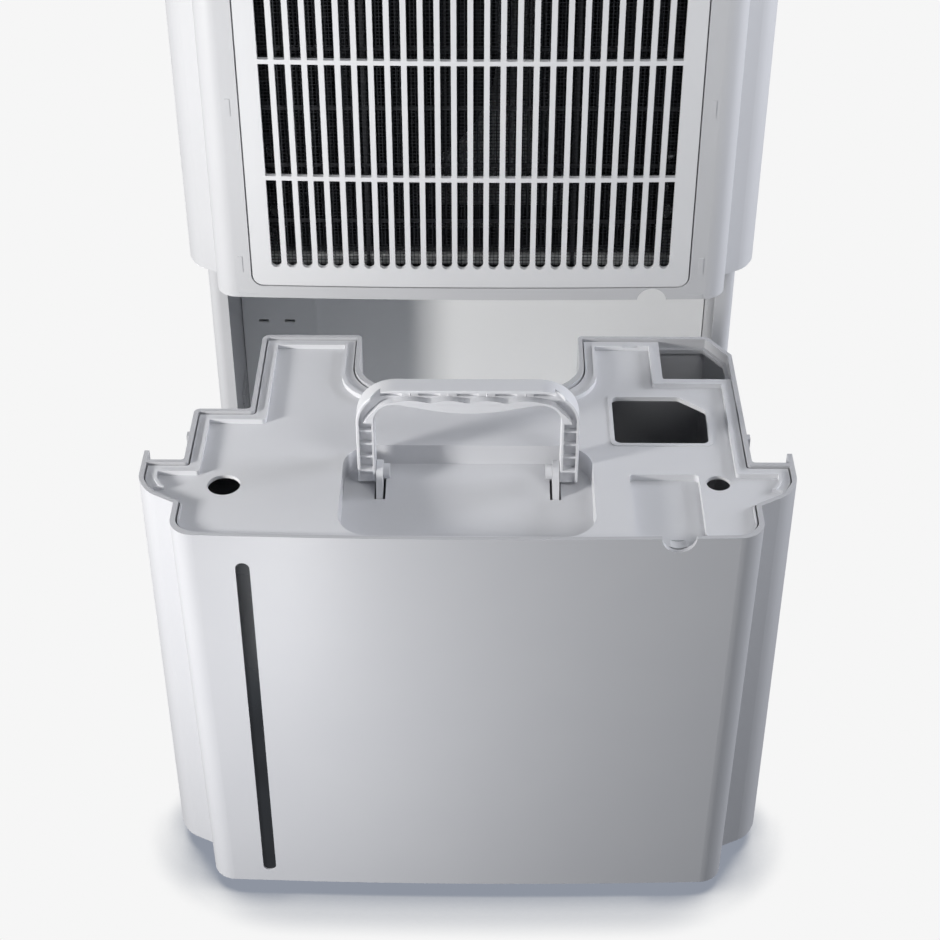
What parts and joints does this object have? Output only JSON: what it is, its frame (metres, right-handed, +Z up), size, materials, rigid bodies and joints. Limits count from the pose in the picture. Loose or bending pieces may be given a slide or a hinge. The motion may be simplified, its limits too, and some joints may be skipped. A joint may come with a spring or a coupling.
{
  "type": "dehumidifier",
  "caption": "Upright portable dehumidifier with a slotted front intake, a pull-out lidded water bucket with a folding handle, top air outlet, side hand grips and swivel casters.",
  "frame": {"origin": "on the floor under the centre of the whole object, bucket drawn out", "axes": "+X to the machine's right seen from the front, +Y from the front to the back, +Z up"},
  "size_m": [0.392, 0.533, 0.61],
  "materials": {
    "cabinet_shell": "fine textured moulded ABS",
    "base_plastic": "moulded ABS",
    "panel_white": "satin moulded ABS",
    "bucket_shell": "satin moulded ABS",
    "bucket_trim": "satin moulded polypropylene",
    "handle_plastic": "satin moulded polypropylene",
    "bay_plastic": "satin moulded ABS",
    "tray_plastic": "moulded ABS",
    "clear_window": "smoked clear acrylic",
    "control_gloss": "gloss grey",
    "display_black": "smoked black lens",
    "key_plastic": "satin keys",
    "circuit_board": "green solder mask",
    "screw_steel": "zinc plated",
    "filter_plastic": "black moulded polypropylene",
    "filter_net": "woven nylon net",
    "coil_fins": "rolled fin stock",
    "fan_plastic": "black moulded ABS",
    "motor_can": "drawn can",
    "bracket_steel": "galvanised sheet",
    "compressor_black": "black enamel",
    "grommet_rubber": "moulded rubber",
    "copper_tube": "drawn copper tube",
    "switch_plastic": "black nylon",
    "port_plastic": "grey nylon",
    "float_foam": "closed cell foam",
    "caster_fork": "black nylon",
    "caster_tread": "black nylon wheel"
  },
  "bodies": {
    "cabinet": {"front_fascia": "cabinet_shell", "side_wrap": "cabinet_shell", "top_cover": "cabinet_shell", "lower_body": "cabinet_shell", "grip_cup_right": "cabinet_shell", "grip_cup_left": "cabinet_shell", "base_pan": "base_plastic", "outlet_grille": "panel_white", "bay_liner": "bay_plastic", "mid_deck": "bay_plastic", "drip_tray": "tray_plastic", "control_panel": "control_gloss", "display_lens": "display_black", "control_board": "circuit_board", "housing_screws": "screw_steel", "evaporator": "coil_fins", "condenser": "coil_fins", "fan_scroll": "fan_plastic", "fan_motor": "motor_can", "run_capacitor": "motor_can", "motor_bracket": "bracket_steel", "compressor_plate": "bracket_steel", "compressor": "compressor_black", "compressor_grommets": "grommet_rubber", "suction_pipe": "copper_tube", "discharge_pipe": "copper_tube", "bucket_switch": "switch_plastic", "humidity_sensor": "switch_plastic", "hose_port": "port_plastic", "power_inlet": "port_plastic"},
    "bucket": {"bucket_tub": "bucket_shell", "bucket_lid": "bucket_trim", "level_window": "clear_window", "handle_pins": "bucket_trim", "float_bracket": "bucket_trim"},
    "handle": {"bucket_handle": "handle_plastic"},
    "float": {"float_body": "float_foam"},
    "intake_panel": {"intake_grille": "panel_white", "filter_frame": "filter_plastic", "filter_mesh": "filter_net"},
    "fan": {"fan_wheel": "fan_plastic"},
    "port_cap": {"drain_cap": "port_plastic"},
    "switch_arm": {"switch_lever": "bracket_steel"},
    "key_1": {"button_1": "key_plastic"},
    "key_2": {"button_2": "key_plastic"},
    "key_3": {"button_3": "key_plastic"},
    "key_4": {"button_4": "key_plastic"},
    "key_5": {"button_5": "key_plastic"},
    "key_6": {"button_6": "key_plastic"},
    "fork_fl": {"caster_fork_fl": "caster_fork"},
    "wheel_fl": {"caster_wheel_fl": "caster_tread"},
    "fork_fr": {"caster_fork_fr": "caster_fork"},
    "wheel_fr": {"caster_wheel_fr": "caster_tread"},
    "fork_rl": {"caster_fork_rl": "caster_fork"},
    "wheel_rl": {"caster_wheel_rl": "caster_tread"},
    "fork_rr": {"caster_fork_rr": "caster_fork"},
    "wheel_rr": {"caster_wheel_rr": "caster_tread"}
  },
  "joints": [
    {"name": "bucket_slide", "type": "slide", "parent": "cabinet", "child": "bucket", "axis": [0, 1, 0], "range_m": [0, 0.252]},
    {"name": "handle_fold", "type": "hinge", "parent": "bucket", "child": "handle", "pos_m": [0, -0.1855, 0.2957], "axis": [1, 0, 0], "range_deg": [0, 96.2]},
    {"name": "float_swing", "type": "hinge", "parent": "bucket", "child": "float", "pos_m": [-0.1, -0.1265, 0.294], "axis": [1, 0, 0], "range_deg": [-8, 0]},
    {"name": "intake_pull", "type": "slide", "parent": "cabinet", "child": "intake_panel", "axis": [0, -1, 0], "range_m": [0, 0.04]},
    {"name": "fan_spin", "type": "hinge", "parent": "cabinet", "child": "fan", "pos_m": [-0.075, 0.1055, 0.445], "axis": [0, 1, 0], "continuous": true},
    {"name": "cap_pull", "type": "slide", "parent": "cabinet", "child": "port_cap", "axis": [0, 1, 0], "range_m": [0, 0.03]},
    {"name": "switch_swing", "type": "hinge", "parent": "cabinet", "child": "switch_arm", "pos_m": [-0.149, 0.1755, 0.302], "axis": [1, 0, 0], "range_deg": [0, 12]},
    {"name": "key_press_1", "type": "slide", "parent": "cabinet", "child": "key_1", "axis": [0, 0, -1], "range_m": [0, 0.0008], "stiffness_N_per_m": 300},
    {"name": "key_press_2", "type": "slide", "parent": "cabinet", "child": "key_2", "axis": [0, 0, -1], "range_m": [0, 0.0008], "stiffness_N_per_m": 300},
    {"name": "key_press_3", "type": "slide", "parent": "cabinet", "child": "key_3", "axis": [0, 0, -1], "range_m": [0, 0.0008], "stiffness_N_per_m": 300},
    {"name": "key_press_4", "type": "slide", "parent": "cabinet", "child": "key_4", "axis": [0, 0, -1], "range_m": [0, 0.0008], "stiffness_N_per_m": 300},
    {"name": "key_press_5", "type": "slide", "parent": "cabinet", "child": "key_5", "axis": [0, 0, -1], "range_m": [0, 0.0008], "stiffness_N_per_m": 300},
    {"name": "key_press_6", "type": "slide", "parent": "cabinet", "child": "key_6", "axis": [0, 0, -1], "range_m": [0, 0.0008], "stiffness_N_per_m": 300},
    {"name": "caster_swivel_fl", "type": "hinge", "parent": "cabinet", "child": "fork_fl", "pos_m": [-0.14, 0.0315, 0.028], "axis": [0, 0, 1], "continuous": true},
    {"name": "caster_roll_fl", "type": "hinge", "parent": "fork_fl", "child": "wheel_fl", "pos_m": [-0.14, 0.0385, 0.011], "axis": [1, 0, 0], "continuous": true},
    {"name": "caster_swivel_fr", "type": "hinge", "parent": "cabinet", "child": "fork_fr", "pos_m": [0.14, 0.0315, 0.028], "axis": [0, 0, 1], "continuous": true},
    {"name": "caster_roll_fr", "type": "hinge", "parent": "fork_fr", "child": "wheel_fr", "pos_m": [0.14, 0.0385, 0.011], "axis": [1, 0, 0], "continuous": true},
    {"name": "caster_swivel_rl", "type": "hinge", "parent": "cabinet", "child": "fork_rl", "pos_m": [-0.15, 0.2295, 0.028], "axis": [0, 0, 1], "continuous": true},
    {"name": "caster_roll_rl", "type": "hinge", "parent": "fork_rl", "child": "wheel_rl", "pos_m": [-0.15, 0.2365, 0.011], "axis": [1, 0, 0], "continuous": true},
    {"name": "caster_swivel_rr", "type": "hinge", "parent": "cabinet", "child": "fork_rr", "pos_m": [0.15, 0.2295, 0.028], "axis": [0, 0, 1], "continuous": true},
    {"name": "caster_roll_rr", "type": "hinge", "parent": "fork_rr", "child": "wheel_rr", "pos_m": [0.15, 0.2365, 0.011], "axis": [1, 0, 0], "continuous": true}
  ],
  "couplings": [
    {"joint": "handle_fold", "follows": "bucket_slide", "rad_per_m": 6.6489}
  ]
}
